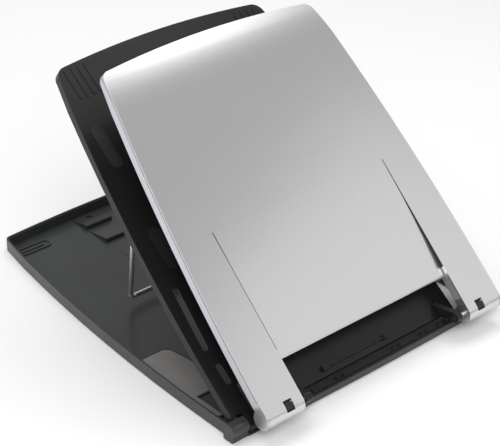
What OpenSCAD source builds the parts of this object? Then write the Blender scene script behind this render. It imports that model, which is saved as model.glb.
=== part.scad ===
// Folding three-layer laptop riser: black base tray, black middle deck, silver lid with two arms.
// Millimetres, Z up, X across, +Y to the rear. The desk is z = 0, and the riser stands open, as in use.

/* [Base tray] */
// Half of the width across the front
base_half_w = 150; // [130:1:170]
// Length from front to rear along the middle
base_len = 368; // [300:1:400]
// Height of the side walls above the desk
base_h = 11.5; // [9:0.5:16]
// Thickness of the walls
base_wall = 2.4; // [2:0.1:5]
// Underside of the floor above the desk
base_z = 0.7; // [0.5:0.1:3]
// Thickness of the floor
floor_t = 1.0; // [0.8:0.1:3]

/* [Middle deck] */
// Half of the width across the front
deck_half_w = 147; // [125:1:165]
// Length along the slope
deck_len = 334; // [280:1:360]
// Depth of the deck's rim
deck_t = 7.2; // [5:0.1:12]
// Thickness of the deck's top
deck_skin = 1.0; // [0.8:0.1:2]
// Slope of the deck above the desk
deck_tilt = 36.8; // [10:0.1:38]

/* [Lid] */
// Half of the width across the front
lid_half_w = 136; // [115:1:150]
// Length along the slope
lid_len = 311; // [260:1:330]
// Depth of the lid from its top to the bottom of its rim
lid_t = 9.7; // [7:0.1:14]
// Slope of the lid above the desk
lid_tilt = 43.1; // [15:0.1:50]
// Inner edge of each front arm
arm_in = 96.5; // [60:0.5:110]
// Front edge of the panel between the arms
tongue_v = 36.5; // [20:0.5:80]
// How far the front edge of that panel lies below the arms
tongue_drop = 4.5; // [0:0.5:5]

/* [Bail] */
// Diameter of the bent wire
wire_d = 4.2; // [3:0.1:5]
// Distance from the deck's hinge to the bail's hinge
bail_seat = 178; // [150:1:200]
// Distance from the bail's hinge to its foot
bail_len = 120.5; // [100:0.1:140]
// Slope of the bail, down and to the rear
bail_slope = 59.3; // [50:0.1:80]

/* [Hidden] */
$fn = 48;
e = 0.01;                        // overlap that joins two solids

// Hinge axes, as [y, z] seen from the side
deck_axis = [22, 7];
lid_axis = [6.8, 20.8];
nose_r = 8.4;                    // round front end of each lid arm
pin_r = 1.75;
deck_pin_r = 2;
fit = 0.06;                      // running clearance of a pin in its bore

// The origin is the middle of the whole part's footprint
base_front = 16.9;
mid_y = (lid_axis[0] - nose_r + base_front + base_len) / 2;

// Plan shapes: half width [front, change to the rear, bulge], and how far the rear and front edges bow
base_plan = [base_half_w, -35.9, 9.0];
deck_plan = [deck_half_w, -34.7, 7.1];
lid_plan = [lid_half_w, -21.6, 5.8];
base_bow = 4.7;
deck_bow = 6.7;
lid_bow = 7.0;
front_bow = 2.1;

// Deck: its top plane stands this far above the hinge axis, and starts this far behind it
deck_over = 4.05;
deck_back = 8.6;
// Lid: the same for the lid's own hinge axis
lid_over = nose_r + 0.05;
lid_back = -1.4;

// Base details
floor_z = base_z + floor_t;
front_h = 6.5;                   // the front wall is lower than the sides
ledge_h = 4.8;
channel_y = 22.4;                // rear of the ledge behind the front wall
win_x = [106, 144];              // through window on the right, behind the ledge
ear_x = 125;                     // the front wall and ledge reach out to the deck's ears
win_y = [30, 80];
pod_x = [137.2, 153.9];
pod_y = [17.9, 30];
pod_h = 15.5;
foot_r = 7;
tooth_y = [357, 326, 292];       // front faces of the rear teeth
tooth_pitch = 32;
clip_x = [28, 62, 84];
rack_w = [8, 30];                // each half of the rack, across

// Deck details
ear_u = [126.5, 136.6];
notch_v = 26;
horn_v = 3;                      // the deck's outer strip reaches further forward than the notch
front_u = 105;                   // the deck's front edge spans this half width
front_v = -3;
pad_w = 11.8;
pad_shift = 2.1;                 // the pads sit towards the deck's outer edge
pad_rise = 0.6;
pads = [[108, 228, 269], [113.5, 131, 170]];        // [u, first v, last v] of each raised pad
slots = [[133.2, 59, 116, -5], [131.5, 27, 46, 0]]; // [u, first v, last v, drift in u]
slot_w = 5.5;
rail_u = [-46, 24];
rail_v = 2.6;
rail_rise = 2.2;
rib_u = [84, 91, 98, 105];
rib_v = [296, 326];
rib_w = 3.4;
rib_rise = 0.5;
lug_u = [85.5, 91.5];
lug_r = 4.4;
flange_u = [66, 91.5];
flange_v = [2.8, 26];
lug_v = [3, 8];                  // the lug's foot, in its slot through the deck
flange_screw_v = [8, 20];
saddle_u = [129.2, 132];
leg_u = 127;                     // the straight top of each bail leg
bar_u = 89.5;                    // half length of the bail's foot
bend_at = 0.86;                  // share of the leg that leans outward
bend_r = 9;                      // round corner at each end of the foot
sleeve_half = 0.6;
bail_pin_r = 2;                  // the bail's turned-down ends, in the saddles
bail_n = -3.3;                   // the bail's hinge below the deck's top

// Lid details
skin_t = 1.4;
reveal = 0.9;                    // dark line between skin and rim
reveal_in = 1.8;
curl_v = 268;                    // the top bends down from here to the rear edge
curl_r = 200;
rim_t = 3;
wall_t = 2.4;                    // the lid frame's inner walls
seal_v = tongue_v + 8;           // the slit seals start behind that wall
wall_v = tongue_v + 5;           // the wall behind the middle panel's lip
arm_front_v = 14;                // where the arms' solid noses end
ramp_v = 150;                    // where the middle panel comes flush with the arms
lip_r = 2.2;                     // round front lip of the middle panel
panel_run = ramp_v - tongue_v - lip_r;
panel_r = (pow(panel_run, 2) + pow(tongue_drop, 2)) / (2 * tongue_drop);
slit = 0.8;
window_u = [107, 115.5];
window_v = [-3, 6.5];
stop_axis = [4.4, -2.0];         // [v, n] of the stop's pin
stop_pin_r = 0.5;
pocket_d = 5.2;
liner_t = 1.2;
screw_u = [40, 104];
screw_v = [70, 180, 285];

black = [0.14, 0.15, 0.16];
silver = [0.78, 0.78, 0.80];
chrome = [0.85, 0.86, 0.88];
rubber = [0.08, 0.08, 0.08];

// ---------- plan outlines ----------

// Half width at the share t of the length
function half_w(p, t) = p[0] + p[1] * t + 4 * p[2] * t * (1 - t);

// Right half of a plan outline, from the middle of the front to the middle of the rear
function right_half(p, len, bow, fbow, rf, rc, inset) =
    let (wf = half_w(p, 0) - inset, n = 10, k = 6, te = 1 - (rc + inset) / len,
         wr = half_w(p, te) - inset,
         ff = function(u) inset + fbow * pow(u / p[0], 2),
         fr = function(u) len - inset - bow * pow(u / half_w(p, 1), 2))
    concat(
        [for (i = [0:3]) let (u = (wf - rf) * i / 4) [u, ff(u)]],
        [for (i = [0:k]) let (a = -90 + 90 * i / k)
            [wf - rf + rf * cos(a), ff(wf - rf) + rf + rf * sin(a)]],
        [for (i = [1:n - 1]) let (t = te * i / n) [half_w(p, t) - inset, len * t]],
        [for (i = [0:k]) let (a = 90 * i / k) [wr - rc + rc * cos(a), fr(wr - rc) - rc + rc * sin(a)]],
        [for (i = [5:-1:0]) let (u = (wr - rc) * i / 6) [u, fr(u)]]);

module plan(p, len, bow, fbow, rf, rc, inset) {
    r = right_half(p, len, bow, fbow, rf, rc, inset);
    l = [for (i = [len(r) - 2:-1:1]) [-r[i][0], r[i][1]]];
    polygon(concat(r, l));
}

module base_shape(inset) plan(base_plan, base_len, base_bow, front_bow, 6, max(2, 7 - inset), inset);
module deck_shape(inset) plan(deck_plan, deck_len, deck_bow, 0, 2, max(2, 11 - inset), inset);
module lid_shape(inset) plan(lid_plan, lid_len, lid_bow, 0, 2, max(2, 9 - inset), inset);

// ---------- placing ----------

module on_desk() translate([0, base_front - mid_y, 0]) children();
module seen_from_side() translate([0, -mid_y, 0]) children();

// Deck and lid frames: X across, Y along the slope, Z up from the top face
module on_deck() translate([0, deck_axis[0] - mid_y, deck_axis[1]]) rotate([deck_tilt, 0, 0])
    translate([0, deck_back, deck_over]) children();
module on_lid() translate([0, lid_axis[0] - mid_y, lid_axis[1]]) rotate([lid_tilt, 0, 0])
    translate([0, lid_back, lid_over]) children();

// Both sides, or one side: -1 is the left
module both() for (s = [-1, 1]) scale_x(s) children();
module scale_x(s) mirror([s < 0 ? 1 : 0, 0, 0]) children();

// A block from two corner values on each axis
module block(x, y, z) translate([x[0], y[0], z[0]]) cube([x[1] - x[0], y[1] - y[0], z[1] - z[0]]);
// A rod along X
module rod(r, x) translate([x[0], 0, 0]) rotate([0, 90, 0]) cylinder(r = r, h = x[1] - x[0]);
// A long flat hole or pad with round ends, from v0 to v1 and drifting in u
module obround(w, h, u, v0, v1, drift) linear_extrude(h) {
    a = atan2(drift, v1 - v0 - w);
    translate([u, v0 + w / 2]) circle(d = w);
    translate([u + drift, v1 - w / 2]) circle(d = w);
    translate([u, v0 + w / 2]) rotate(-a) translate([-w / 2, 0]) square([w, (v1 - v0 - w) / cos(a)]);
}

// ---------- base ----------

module floor_window() seen_from_side() block(win_x, win_y, [-1, base_h - 2]);

module base_tray() color(black) {
    difference() {
        on_desk() translate([0, 0, base_z]) linear_extrude(base_h - base_z) base_shape(0);
        on_desk() translate([0, 0, floor_z]) linear_extrude(base_h) base_shape(base_wall);
        floor_window();
        // room for the corner pods, and for the deck's ears between them
        seen_from_side() both() block([pod_x[0] - 0.01, 170], [0, pod_y[1] + 0.01], [-1, 30]);
        seen_from_side() block([-pod_x[0], pod_x[0]], [0, win_y[0]], [front_h, 30]);
        seen_from_side() both() block([ear_x, pod_x[0]], [0, win_y[0] - 1], [floor_z, 30]);
        // a thin bevel around the inner top edge of the walls
        on_desk() translate([0, 0, base_h - 0.8]) linear_extrude(2) base_shape(1.2);
    }
    // ledge behind the front wall, with short clips that stand in the channel
    seen_from_side() {
        block([-win_x[0], win_x[0]], [base_front + base_wall - e, channel_y], [floor_z - e, ledge_h]);
        block([-ear_x, ear_x], [channel_y - 1.3, channel_y], [floor_z - e, front_h]);
    }
    seen_from_side() both() for (x = clip_x) {
        block([x, x + 3], [channel_y - 1, channel_y + 2.6], [floor_z - e, 8]);
        block([x + 7, x + 10], [channel_y - 1, channel_y + 2.6], [floor_z - e, 8]);
        block([x, x + 10], [channel_y - 1, channel_y + 0.4], [floor_z - e, 6.4]);
    }
    // embossed ring near each rear corner, and the rim of each floor panel
    seen_from_side() both() translate([0, 361.5, floor_z - e]) difference() {
        cross_bar(113, 77, 12, 1.3);
        translate([0, 0, -1]) cross_bar(111.2, 78.8, 8.4, 4);
    }
    seen_from_side() both() translate([0, 361.5, floor_z - e]) cross_bar(109, 84, 2.4, 1.3);
    difference() {
        seen_from_side() both() translate([0, 0, floor_z - e]) linear_extrude(1.2) difference() {
            panel_outline(1.8);
            panel_outline(0.3);
            translate([138.5, 0]) square([20, 200]);
        }
        floor_window();
    }
}

// A flat bar with round ends that lies across, from x1 in to x0
module cross_bar(x1, x0, w, h) linear_extrude(h) {
    translate([x1 - w / 2, 0]) circle(d = w);
    translate([x0 + w / 2, 0]) circle(d = w);
    translate([x0 + w / 2, -w / 2]) square([x1 - x0 - w, w]);
}

module hinge_pod(s) color(black) seen_from_side() scale_x(s) difference() {
    union() {
        block(pod_x, [pod_y[0] + 4, pod_y[1]], [base_z, pod_h - 4]);
        block(pod_x, [pod_y[0] + 1.5, pod_y[1]], [base_z, base_h - 4]);
        translate([0, pod_y[0] + 6, pod_h - 6]) rod(6, pod_x);
        block(pod_x, [pod_y[0] + 6, pod_y[1] - 3], [base_z, pod_h]);
    }
    translate([0, deck_axis[0], deck_axis[1]]) rod(deck_pin_r, [130, 151]);
    translate([145.5, 26, base_z - 1]) cylinder(r = 1.5, h = 4);
}
module hinge_pod_left() hinge_pod(-1);
module hinge_pod_right() hinge_pod(1);

module deck_hinge_pins() color(chrome) seen_from_side() both()
    translate([0, deck_axis[0], deck_axis[1]]) rod(deck_pin_r, [ear_u[0] + 0.8, 151]);

// Ramps that rise to the front: each front face is a stop for the bail's foot
module tooth(front, len, h) translate([0, front, floor_z]) rotate([90, 0, 90])
    linear_extrude(rack_w[1]) polygon([[0, 0], [len, 0], [len, h / 8], [h / 4, h], [0, h * 0.8]]);

module ratchet_rack() color(black) seen_from_side() difference() {
    both() translate([rack_w[0], 0, 0]) {
        tooth(tooth_y[0], 23, 4.2);
        tooth(tooth_y[1], 27, 3.6);
        tooth(tooth_y[2], 30, 0.3);
        tooth(tooth_y[2] - tooth_pitch, 28, 0.3);
        // the front block holds the foot when the deck stands at its full slope
        translate([0, 205, floor_z]) rotate([90, 0, 90]) linear_extrude(rack_w[1])
            polygon([[0, 0], [27, 0], [27, 0.5], [22.5, 5.9], [18.3, 5.9], [18, 7.8], [16.6, 7.8], [0, 1]]);
    }
    both() translate([rack_w[0] + 15, 372, 0]) cylinder(d = 6, h = 20);
}

// Floor panel in front of the middle, grown by g
module panel_outline(g) polygon([[139.5, 153.4 + g], [113 - g / 2, 153.4 + g],
    [108.5 - g, 149 + g / 2], [105.8 - g, 128], [107.5 - g, 108],
    [109 - g, 84 - g], [135.4, 84 - g], [135.4, 52 - g], [139.5, 52 - g]]);

module floor_panel(s) color([0.42, 0.41, 0.40]) difference() {
    seen_from_side() scale_x(s) translate([0, 0, floor_z]) linear_extrude(0.7) panel_outline(0);
    floor_window();
}
module floor_panel_left() floor_panel(-1);
module floor_panel_right() floor_panel(1);

module rubber_feet() color(rubber) seen_from_side() both() {
    translate([128, 100, 0]) cylinder(r = foot_r, h = base_z);
    translate([98, 362, 0]) cylinder(r = foot_r, h = base_z);
    translate([60, 28, 0]) cylinder(r = foot_r - 2, h = base_z);
}

module base_screws() color(chrome) seen_from_side() both()
    translate([145.5, 26, 0]) {
        translate([0, 0, base_z]) cylinder(r = 1.45, h = 2.9);
        translate([0, 0, 0.1]) cylinder(r = 3, h = base_z - 0.1);
    }

// ---------- deck ----------

module deck_tray() color(black) {
    on_deck() difference() {
        translate([0, 0, -deck_t]) linear_extrude(deck_t) deck_shape(0);
        both() block(lug_u, lug_v, [-20, 5]);
        translate([0, 0, -deck_t - 1]) linear_extrude(deck_t + 1 - deck_skin) intersection() {
            deck_shape(2.6);
            translate([-200, front_v + 3]) square([400, 400]);
        }
        both() block([front_u, ear_u[1] + 0.2], [-10, notch_v], [-20, 5]);
        both() block([front_u, 160], [-10, horn_v], [-20, 5]);
        for (s = slots) both() translate([0, 0, -20]) obround(slot_w, 40, s[0], s[1], s[2], s[3]);
        // finger hollow under the rear edge
        block([-44, 44], [deck_len - 12, deck_len + 1], [-20, -4.6]);
    }
    // front edge with a low ridge, the rim beside each notch, and ribs on the underside
    on_deck() {
        block([-front_u, front_u], [front_v, 0.1], [-deck_t, 0]);
        block([0.1 - lug_u[0], lug_u[0] - 0.1], [front_v, front_v + 2.2], [-e, 0.9]);
        both() block([front_u - 2.6, front_u], [0, notch_v + 2.6], [-deck_t, -deck_skin + e]);
        both() block([front_u - e, ear_u[1] + 4], [notch_v, notch_v + 0.9], [-deck_t, -deck_skin + e]);
        both() block([ear_u[1] + 0.2, ear_u[1] + 1.8], [horn_v, notch_v + 0.9], [-deck_t, -deck_skin + e]);
        both() block([60, 62], [10, 158], [-4.5, -deck_skin + e]);
    }
    // rail behind the front edge, with a post at each end
    on_deck() {
        block([rail_u[0], rail_u[1]], [rail_v, rail_v + 1.6], [-e, rail_rise]);
        for (u = rail_u) block([u - 3, u + 3], [rail_v - 1, rail_v + 3], [-e, rail_rise + 0.8]);
    }
    // raised lines along the rear edge
    on_deck() both() for (u = rib_u) translate([0, 0, -e])
        obround(rib_w, rib_rise, u, rib_v[0], rib_v[1], 0);
}

// Long raised rings, each with a flat middle
module deck_pads() color([0.2, 0.2, 0.21]) on_deck() both() for (p = pads) {
    difference() {
        obround(pad_w, pad_rise, p[0] + pad_shift, p[1], p[2], 0);
        translate([0, 0, pad_rise / 3]) obround(pad_w - 3, 1, p[0] + pad_shift, p[1] + 1.5, p[2] - 1.5, 0);
    }
}

module deck_ear(s) color(black) on_deck() scale_x(s) difference() {
    union() {
        translate([0, -deck_back, -deck_over]) rod(deck_over, ear_u);
        block(ear_u, [-deck_back, notch_v - 0.02], [-deck_over * 2, 0]);
    }
    translate([0, -deck_back, -deck_over]) rod(deck_pin_r + fit, [120, 140]);
}
module deck_ear_left() deck_ear(-1);
module deck_ear_right() deck_ear(1);

// Lug that carries the lid's hinge pin above the deck's front edge, on a flange under the deck's top
module lid_bracket(s) color(black) scale_x(s) difference() {
    union() {
        seen_from_side() translate([0, lid_axis[0], lid_axis[1]]) rod(lug_r, lug_u);
        hull() {
            seen_from_side() translate([0, lid_axis[0], lid_axis[1]]) rotate([deck_tilt, 0, 0])
                block(lug_u, [-1.5, lug_r - 1.5], [-3.9, 3.8]);
            on_deck() block(lug_u, [front_v + 2.3, 9], [0, 1]);
        }
        on_deck() block(flange_u, flange_v, [-deck_skin - 1.6, -deck_skin]);
        on_deck() block(lug_u, lug_v, [-deck_skin - 1, 0.5]);
    }
    seen_from_side() translate([0, lid_axis[0], lid_axis[1]]) rod(pin_r, [70, 100]);
    on_deck() for (v = flange_screw_v) translate([flange_u[0] + 5, v, -6]) cylinder(r = 1.25, h = 10);
}
module lid_bracket_left() lid_bracket(-1);
module lid_bracket_right() lid_bracket(1);

module lid_hinge_pins() color(chrome) seen_from_side() both()
    translate([0, lid_axis[0], lid_axis[1]]) rod(pin_r, [lug_u[0] - 2.4, 105]);

module friction_washers() color(black) seen_from_side() both()
    translate([0, lid_axis[0], lid_axis[1]]) difference() {
        union() {
            rod(3.6, [lug_u[0] - 1, lug_u[0]]);
            rod(2.9, [lug_u[0] - 2.4, lug_u[0] - 1]);
        }
        rod(pin_r, [lug_u[0] - 4, lug_u[0] + 1]);
    }

module bracket_screws() color(chrome) on_deck() both() for (v = flange_screw_v)
    translate([flange_u[0] + 5, v, -deck_skin - 1.6]) {
        translate([0, 0, -0.9]) cylinder(r = 2.4, h = 0.9);
        translate([0, 0, -e]) cylinder(r = 1.2, h = 1.6);
    }

// Ears under the deck that the bail's ends turn in
module bail_saddles() color(black) on_deck() both() difference() {
    block(saddle_u, [bail_seat - deck_back - 5, bail_seat - deck_back + 5], [-6.4, -deck_skin]);
    translate([0, bail_seat - deck_back, bail_n]) rod(bail_pin_r + fit, [120, 134]);
}

// The bail's own frame: X across, Y from its hinge to its foot
module on_bail() on_deck() translate([0, bail_seat - deck_back, bail_n])
    rotate([-deck_tilt - bail_slope, 0, 0]) children();

// A straight stretch of wire
module wire(p, q, d = wire_d) {
    w = q - p;
    translate(p) rotate([0, acos(w[2] / norm(w)), atan2(w[1], w[0])]) cylinder(d = d, h = norm(w));
}

// A hair-thin sleeve that joins a straight stretch to a round one
module sleeve(p, along) wire(p - sleeve_half * along, p + sleeve_half * along, wire_d + 0.12);

// A round stretch from one angle through another, about a centre
module round_wire(centre, from, through) translate(centre) rotate(from)
    rotate_extrude(angle = through) translate([bend_r, 0]) circle(d = wire_d);

module prop_bail() color(chrome) on_bail() {
    knee = bail_len * (1 - bend_at);
    lean = atan2(bail_len - knee, leg_u - bar_u);        // turn from the foot into the leg
    along = [cos(lean), -sin(lean), 0];
    foot_cut = bend_r * tan(lean / 2);
    knee_cut = bend_r * tan((90 - lean) / 2);
    low = [bar_u, bail_len, 0] + foot_cut * along;
    high = [leg_u, knee, 0] - knee_cut * along;
    top = [leg_u, knee - knee_cut, 0];
    translate([0, bail_len, 0]) rod(wire_d / 2, [foot_cut - bar_u, bar_u - foot_cut]);
    both() {
        sleeve([bar_u - foot_cut, bail_len, 0], [1, 0, 0]);
        round_wire([bar_u - foot_cut, bail_len - bend_r, 0], 90 - lean, lean);
        sleeve(low, along);
        wire(low, high);
        sleeve(high, along);
        round_wire([leg_u - bend_r, top[1], 0], 0, 90 - lean);
        sleeve(top, [0, -1, 0]);
        wire(top, [leg_u, -0.8, 0]);
        rod(bail_pin_r, [leg_u - 1.6, saddle_u[1]]);
    }
}

// ---------- lid ----------

// Everything that the lid's plan leaves out in front of the middle panel
module lid_notch(w, v) translate([-w, -20]) square([2 * w, v + 20]);

// Everything more than d below the lid's top, which bends down towards the rear
module under_top(d) {
    block([-200, 200], [-60, curl_v], [-30, -d]);
    translate([0, curl_v, -curl_r]) rod(curl_r - d, [-200, 200]);
}

module lid_skin() color(silver) {
    on_lid() difference() {
        union() {
            difference() {
                intersection() {
                    translate([0, 0, -lid_t]) linear_extrude(lid_t) difference() {
                        lid_shape(0);
                        lid_notch(arm_in, ramp_v);
                        translate([-200, -20]) square([400, 20 - lid_back + e]);
                    }
                    under_top(0);
                }
                under_top(skin_t);
            }
            both() translate([0, -lid_back, -lid_over]) rod(nose_r, [arm_in, lid_half_w]);
            both() block([arm_in, lid_half_w], [-lid_back, arm_front_v], [-lid_t, -lid_over + nose_r]);
        }
        // the dark line along each arm's outer edge runs on around its nose
        both() translate([0, -lid_back, -lid_over]) difference() {
            rod(nose_r + 3, [lid_half_w - 2, lid_half_w - 1.4]);
            rod(nose_r - 0.5, [lid_half_w - 3, lid_half_w]);
            block([100, lid_half_w + 1], [0, 30], [-30, 30]);
        }
        both() block(window_u, window_v, [-pocket_d, 5]);
        both() translate([0, -lid_back, -lid_over]) rod(pin_r + fit, [90, 105.4]);
    }
    // middle panel: one gentle curve from flush at the rear to its full drop at the round front lip
    on_lid() {
        difference() {
            block([slit - arm_in, arm_in - slit], [tongue_v + lip_r, ramp_v], [-12, 0]);
            difference() {
                block([-120, 120], [tongue_v, ramp_v + 1], [-20, 5]);
                difference() {
                    translate([0, ramp_v, -panel_r]) rod(panel_r, [-130, 130]);
                    translate([0, ramp_v, -panel_r]) rod(panel_r - skin_t, [-140, 140]);
                }
            }
        }
        translate([0, tongue_v + lip_r, -tongue_drop - lip_r]) rod(lip_r, [slit - arm_in, arm_in - slit]);
    }
}

// Black strip that fills each slit between the middle panel and an arm
module panel_seals() color(rubber) on_lid() both()
    translate([arm_in - slit + e, 0, 0]) rotate([90, 0, 90]) linear_extrude(slit - 2 * e)
    polygon([[seal_v, -0.4], [ramp_v - 1, -0.4], [ramp_v - 1, -3], [seal_v, -tongue_drop - 3]]);

// The arms' inner and front walls, and the wall behind the middle panel's lip
module inner_walls() {
    both() translate([arm_in, 0]) square([wall_t, ramp_v]);
    both() translate([arm_in, 0]) square([lid_half_w - arm_in, arm_front_v + wall_t]);
    translate([-arm_in, wall_v]) square([2 * arm_in, wall_t]);
}

module lid_frame() color([0.72, 0.71, 0.76]) on_lid() difference() {
    union() {
        intersection() {
            translate([0, 0, -lid_t]) linear_extrude(lid_t) lid_shape(0);
            under_top(skin_t + reveal);
        }
        intersection() {
            translate([0, 0, -lid_t]) linear_extrude(lid_t) lid_shape(reveal_in);
            under_top(skin_t + fit);
        }
    }
    translate([0, 0, -lid_t - 1]) linear_extrude(20) difference() {
        lid_shape(rim_t);
        inner_walls();
    }
    translate([0, 0, -20]) linear_extrude(40) lid_notch(arm_in, wall_v);
    block([-200, 200], [-20, arm_front_v + 0.02], [-30, 5]);
    // room for the dropped part of the middle panel
    rotate([90, 0, 90]) translate([0, 0, -arm_in]) linear_extrude(2 * arm_in)
        polygon([[tongue_v - 5, 5], [ramp_v, 5], [ramp_v, -skin_t],
            [tongue_v - 5, -tongue_drop - lip_r * 1.12]]);
}

module lid_liner() color([0.5, 0.5, 0.52]) on_lid() difference() {
    translate([0, 0, -lid_t + 0.2]) linear_extrude(liner_t) difference() {
        lid_shape(rim_t + 0.05);
        inner_walls();
    }
    translate([0, 0, -20]) linear_extrude(40) lid_notch(arm_in + wall_t, wall_v + wall_t);
    block([-200, 200], [-20, arm_front_v + 0.02], [-30, 5]);
    both() for (u = screw_u, v = screw_v) translate([u, v, -20]) cylinder(r = 1.5, h = 40);
}

module lid_screws() color(chrome) on_lid() both() for (u = screw_u, v = screw_v)
    translate([u, v, -lid_t]) {
        cylinder(r = 2.6, h = 0.2);
        cylinder(r = 1.45, h = 1.4);
    }

module stop_pocket(s) color(black) on_lid() scale_x(s) difference() {
    block(window_u, window_v, [-pocket_d, -1.6]);
    block(window_u + [0.8, -0.8], window_v + [0.8, -0.8], [0.8 - pocket_d, 2]);
    translate([0, stop_axis[0], stop_axis[1]]) rod(stop_pin_r, window_u + [-1, 1]);
}
module stop_pocket_left() stop_pocket(-1);
module stop_pocket_right() stop_pocket(1);

// Stop that flips up about its rear end to hold the laptop's front edge
module laptop_stop(s) color(rubber) on_lid() scale_x(s) difference() {
    u = window_u + [1.2, -1.2];
    union() {
        translate([0, stop_axis[0], stop_axis[1]]) rod(1, u);
        block(u, [window_v[0] + 1.2, stop_axis[0]], [stop_axis[1] - 1.2, stop_axis[1] + 0.9]);
    }
    translate([0, stop_axis[0], stop_axis[1]]) rod(stop_pin_r + fit, [100, 120]);
}
module laptop_stop_left() laptop_stop(-1);
module laptop_stop_right() laptop_stop(1);

module stop_pins() color(chrome) on_lid() both()
    translate([0, stop_axis[0], stop_axis[1]]) rod(stop_pin_r, window_u + [0.05, -0.05]);

base_tray();
hinge_pod_left();
hinge_pod_right();
deck_hinge_pins();
ratchet_rack();
floor_panel_left();
floor_panel_right();
rubber_feet();
base_screws();
deck_tray();
deck_pads();
deck_ear_left();
deck_ear_right();
lid_bracket_left();
lid_bracket_right();
lid_hinge_pins();
friction_washers();
bracket_screws();
bail_saddles();
prop_bail();
lid_skin();
panel_seals();
lid_frame();
lid_liner();
lid_screws();
stop_pocket_left();
stop_pocket_right();
laptop_stop_left();
laptop_stop_right();
stop_pins();
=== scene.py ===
"""Looks for the folding laptop stand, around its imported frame. Metres, Z up, +Y to the rear."""
import math

import bpy
from mathutils import Matrix, Vector

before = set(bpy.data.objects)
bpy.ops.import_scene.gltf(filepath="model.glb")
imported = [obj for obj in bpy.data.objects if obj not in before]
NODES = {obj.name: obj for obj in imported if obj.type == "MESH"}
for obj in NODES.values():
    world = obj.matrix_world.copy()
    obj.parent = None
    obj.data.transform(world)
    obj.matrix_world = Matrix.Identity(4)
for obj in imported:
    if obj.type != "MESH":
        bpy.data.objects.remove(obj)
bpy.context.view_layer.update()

EVEN = (1, 1, 1)

# ---------------------------------------------------------------- material kit


def new_material(name):
    material = bpy.data.materials.new(name)
    material.use_nodes = True
    return material, material.node_tree, material.node_tree.nodes["Principled BSDF"]


def add(tree, kind, **sockets):
    """A node of that kind, with its inputs set by name."""
    node = tree.nodes.new(kind)
    for key, value in sockets.items():
        node.inputs[key.replace("_", " ")].default_value = value
    return node


def object_noise(tree, scale, detail=3.0, stretch=EVEN):
    """Noise fixed to the object, scale in cells per metre."""
    place = tree.nodes.new("ShaderNodeTexCoord")
    mapping = add(tree, "ShaderNodeMapping", Scale=stretch)
    noise = add(tree, "ShaderNodeTexNoise", Scale=scale, Detail=detail)
    tree.links.new(place.outputs["Object"], mapping.inputs["Vector"])
    tree.links.new(mapping.outputs["Vector"], noise.inputs["Vector"])
    return noise.outputs["Fac"]


def ramp(tree, source, stops):
    """A colour ramp from (place, colour) pairs."""
    node = tree.nodes.new("ShaderNodeValToRGB")
    band = node.color_ramp
    while len(band.elements) < len(stops):
        band.elements.new(0.5)
    for element, (place, colour) in zip(band.elements, stops):
        element.position = place
        element.color = (*colour, 1.0)
    tree.links.new(source, node.inputs["Fac"])
    return node.outputs["Color"]


def grey(value, tint=EVEN):
    return tuple(value * share for share in tint)


def vary_roughness(tree, shader, source, low, high):
    node = add(tree, "ShaderNodeMapRange", To_Min=low, To_Max=high)
    tree.links.new(source, node.inputs["Value"])
    tree.links.new(node.outputs["Result"], shader.inputs["Roughness"])


def bump(tree, shader, source, depth, strength=0.5):
    node = add(tree, "ShaderNodeBump", Strength=strength, Distance=depth)
    tree.links.new(source, node.inputs["Height"])
    tree.links.new(node.outputs["Normal"], shader.inputs["Normal"])


def moulded(name, colour, tint=EVEN, rough=(0.34, 0.46), specular=0.5, grain=0.00004):
    """Moulded plastic: a fine texture, a slow change of tone and faint rubbed patches."""
    material, tree, shader = new_material(name)
    slow = object_noise(tree, 14, 2)
    fine = object_noise(tree, 1800, 2)
    tone = ramp(tree, slow, [(0.3, grey(colour * 0.85, tint)), (0.7, grey(colour * 1.15, tint))])
    tree.links.new(tone, shader.inputs["Base Color"])
    vary_roughness(tree, shader, object_noise(tree, 60, 4), *rough)
    shader.inputs["Specular IOR Level"].default_value = specular
    bump(tree, shader, fine, grain, 0.35)
    return material


def silver_paint(name, colour, tint, rough, metal):
    """Satin silver paint: fine metallic flake under a soft clear layer."""
    material, tree, shader = new_material(name)
    flake = object_noise(tree, 2600, 1)
    tone = ramp(tree, flake, [(0.35, grey(colour * 0.94, tint)), (0.65, grey(colour * 1.06, tint))])
    tree.links.new(tone, shader.inputs["Base Color"])
    shader.inputs["Metallic"].default_value = metal
    vary_roughness(tree, shader, object_noise(tree, 25, 3), *rough)
    bump(tree, shader, flake, 0.00001, 0.1)
    return material


def plated_steel(name, rough):
    """Drawn and plated steel with faint lengthwise lines."""
    material, tree, shader = new_material(name)
    lines = object_noise(tree, 900, 2, (0.05, 1, 1))
    tone = ramp(tree, lines, [(0.3, grey(0.68)), (0.7, grey(0.82))])
    tree.links.new(tone, shader.inputs["Base Color"])
    shader.inputs["Metallic"].default_value = 1.0
    vary_roughness(tree, shader, lines, *rough)
    return material


def soft_rubber(name):
    material, tree, shader = new_material(name)
    dust = object_noise(tree, 300, 5)
    tree.links.new(ramp(tree, dust, [(0.4, grey(0.010)), (0.75, grey(0.022))]), shader.inputs["Base Color"])
    vary_roughness(tree, shader, dust, 0.55, 0.8)
    bump(tree, shader, object_noise(tree, 2200, 2), 0.00005, 0.4)
    return material


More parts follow.
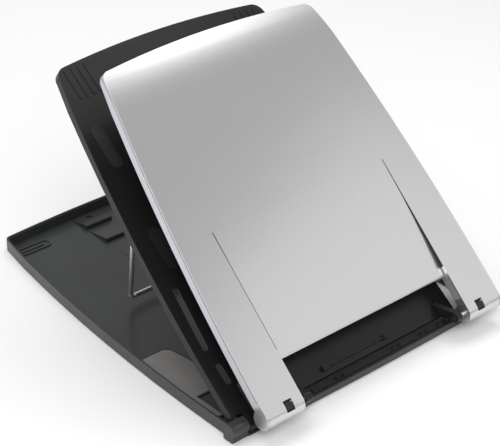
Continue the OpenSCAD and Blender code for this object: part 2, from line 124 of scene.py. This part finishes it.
BLUISH = (0.94, 1.0, 1.04)
LAVENDER = (0.985, 0.965, 1.05)
BLACK = moulded("black_moulded", 0.010, BLUISH, (0.30, 0.40), 0.30)
FLOOR_BLACK = moulded("base_moulded", 0.036, BLUISH, (0.26, 0.36), 0.45)
GREY = moulded("grey_moulded", 0.21, (1.03, 1.0, 0.96), (0.5, 0.6))
PAD = moulded("pad_moulded", 0.017, BLUISH, (0.35, 0.5), 0.4)
SILVER = silver_paint("silver_paint", 0.66, (1.0, 0.995, 0.995), (0.27, 0.29), 0.9)
RIM = silver_paint("silver_rim_paint", 0.62, LAVENDER, (0.34, 0.42), 0.7)
LINER = moulded("liner_moulded", 0.18, EVEN, (0.5, 0.6))
STEEL = plated_steel("bright_steel", (0.10, 0.20))
WIRE = plated_steel("satin_wire", (0.34, 0.44))
RUBBER = soft_rubber("soft_rubber")

FINISH = {
    BLACK: ["deck_tray", "deck_ear_left", "deck_ear_right", "lid_bracket_left", "lid_bracket_right",
            "friction_washers", "bail_saddles", "stop_pocket_left", "stop_pocket_right"],
    FLOOR_BLACK: ["base_tray", "hinge_pod_left", "hinge_pod_right", "ratchet_rack"],
    GREY: ["floor_panel_left", "floor_panel_right"],
    PAD: ["deck_pads"],
    SILVER: ["lid_skin"],
    RIM: ["lid_frame"],
    LINER: ["lid_liner"],
    STEEL: ["deck_hinge_pins", "base_screws", "lid_hinge_pins", "bracket_screws",
            "lid_screws", "stop_pins"],
    WIRE: ["prop_bail"],
    # panel_seals are black strips filling the slits between the lid's middle panel and its arms: painted
    # shade standing in for the shadow in those gaps
    RUBBER: ["rubber_feet", "panel_seals", "laptop_stop_left", "laptop_stop_right"],
}

SHARP = math.radians(40)         # edges bent by more than this are rounded
# Width of the rounded edge on each node, in metres
EDGE = {"lid_skin": 0.0005, "lid_frame": 0.0005, "base_tray": 0.0006, "deck_tray": 0.0006,
        "hinge_pod_left": 0.0009, "hinge_pod_right": 0.0009, "lid_bracket_left": 0.0008,
        "lid_bracket_right": 0.0008, "floor_panel_left": 0.0003, "floor_panel_right": 0.0003}


def finish_node(name, material):
    """Gives a CAD node its material, and a small round along its sharp edges where EDGE lists it."""
    obj = NODES[name]
    for i in range(max(1, len(obj.material_slots))):
        if i < len(obj.material_slots):
            obj.material_slots[i].material = material
        else:
            obj.data.materials.append(material)
    if name in EDGE:
        edge = obj.modifiers.new("edge", "BEVEL")
        edge.width = EDGE[name]
        edge.segments = 3
        edge.limit_method = "ANGLE"
        edge.angle_limit = SHARP
        edge.use_clamp_overlap = True
        edge.harden_normals = False


for material, names in FINISH.items():
    for name in names:
        finish_node(name, material)

# ---------------------------------------------------------------- stage


FLOOR_GAP = 0.0002               # keeps the floor clear of the feet


def stage_floor():
    half = 6.0
    corners = [(-half, -half, 0), (half, -half, 0), (half, half, 0), (-half, half, 0)]
    mesh = bpy.data.meshes.new("floor")
    mesh.from_pydata(corners, [], [(0, 1, 2, 3)])
    floor = bpy.data.objects.new("floor", mesh)
    bpy.context.scene.collection.objects.link(floor)
    floor.location.z = -FLOOR_GAP
    material, tree, shader = new_material("floor_paper")
    shader.inputs["Base Color"].default_value = (0.93, 0.93, 0.93, 1)
    shader.inputs["Roughness"].default_value = 0.9
    floor.data.materials.append(material)


def soft_light(name, place, aim, width, height, power):
    data = bpy.data.lights.new(name, "AREA")
    data.shape = "RECTANGLE"
    data.size = width
    data.size_y = height
    data.energy = power
    light = bpy.data.objects.new(name, data)
    light.location = place
    light.rotation_euler = (Vector(aim) - Vector(place)).to_track_quat("-Z", "Y").to_euler()
    bpy.context.scene.collection.objects.link(light)


stage_floor()
CENTRE = (0, 0, 0.1)
soft_light("key", (-1.2, -1.6, 1.9), CENTRE, 1.6, 1.6, 30)
soft_light("top", (0.0, 0.8, 2.3), CENTRE, 2.2, 1.6, 20)
soft_light("left_fill", (-2.2, 0.5, 0.9), CENTRE, 1.2, 1.4, 10)
# Two near panels that the lid mirrors: one over its front half, and one over its curled rear edge
soft_light("front_panel", (0.47, -0.66, 0.44), (-0.03, -0.17, 0.05), 0.70, 0.56, 0.62)
soft_light("rear_panel", (0.45, 0.16, 0.98), (0.0, 0.02, 0.23), 0.60, 0.28, 1.15)

world = bpy.data.worlds.new("studio")
world.use_nodes = True
world.node_tree.nodes["Background"].inputs["Color"].default_value = (1, 1, 1, 1)
world.node_tree.nodes["Background"].inputs["Strength"].default_value = 0.46
bpy.context.scene.world = world
bpy.context.scene.view_settings.view_transform = "Standard"

# ---------------------------------------------------------------- camera

SWING = math.radians(42.42)      # round from the front, towards the left
DOWN = math.radians(29.70)
ROLL = math.radians(0.71)
CAMERA_PLACE = Vector((-0.8593, -0.96115, 0.8015))

ahead = Vector((math.sin(SWING) * math.cos(DOWN), math.cos(SWING) * math.cos(DOWN), -math.sin(DOWN)))
right = Vector((math.cos(SWING), -math.sin(SWING), 0))
up = right.cross(ahead)
right_r = math.cos(ROLL) * right + math.sin(ROLL) * up
up_r = -math.sin(ROLL) * right + math.cos(ROLL) * up
camera_data = bpy.data.cameras.new("camera")
camera_data.sensor_fit = "HORIZONTAL"
camera_data.sensor_width = 36
camera_data.lens = 122.4
camera_data.clip_start = 0.01
camera = bpy.data.objects.new("camera", camera_data)
camera.matrix_world = Matrix.Translation(CAMERA_PLACE) @ Matrix((right_r, up_r, -ahead)).transposed().to_4x4()
bpy.context.scene.collection.objects.link(camera)
bpy.context.scene.camera = camera
